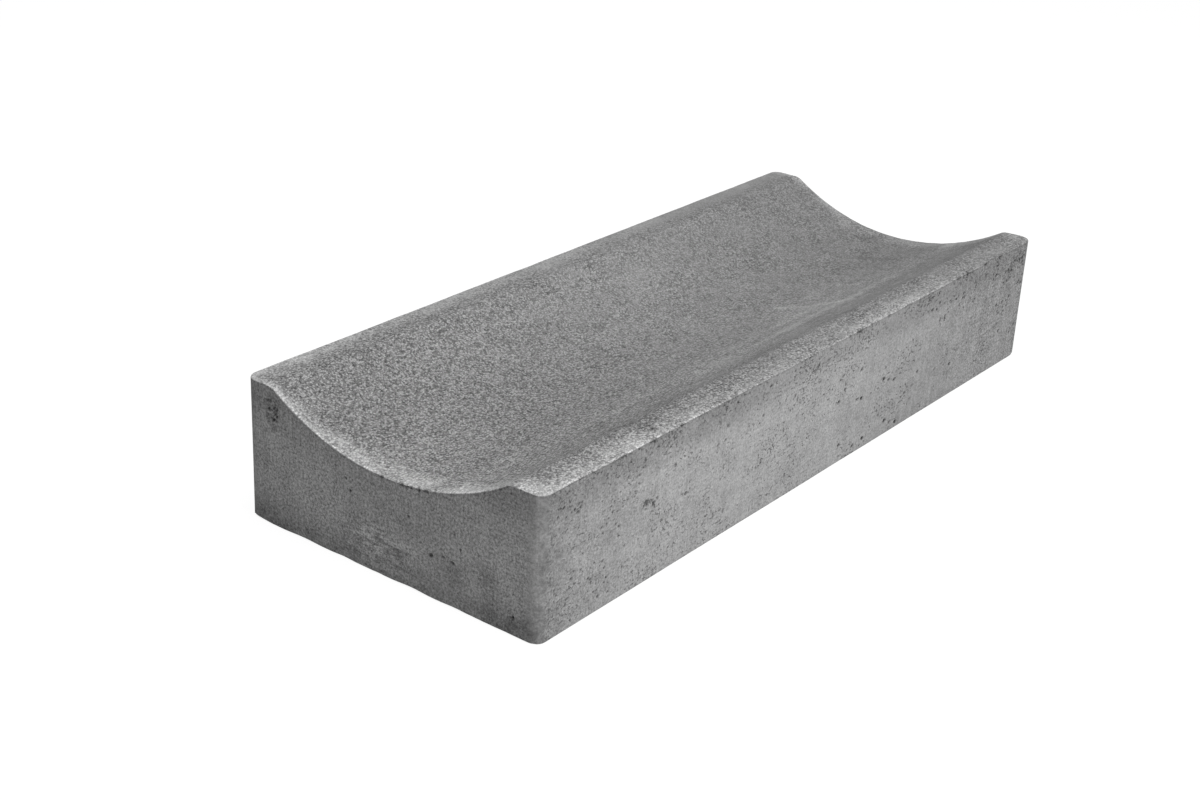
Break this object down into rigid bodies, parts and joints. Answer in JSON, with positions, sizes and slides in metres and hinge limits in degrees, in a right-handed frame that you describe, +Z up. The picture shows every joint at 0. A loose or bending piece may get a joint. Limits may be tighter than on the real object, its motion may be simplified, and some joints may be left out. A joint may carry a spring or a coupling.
{
  "type": "concrete drainage gutter",
  "caption": "Solid cast concrete block with rounded upright corners and a shallow dished channel along its top, laid end to end in paving to carry surface water.",
  "frame": {"origin": "middle of the flat underside that beds on the ground", "axes": "+X along the run of the channel, +Y across it, +Z up out of the channel"},
  "size_m": [0.5, 0.2, 0.08],
  "materials": {
    "concrete": "matte"
  },
  "bodies": {
    "root": {"gutter_block": "concrete"}
  },
  "joints": []
}
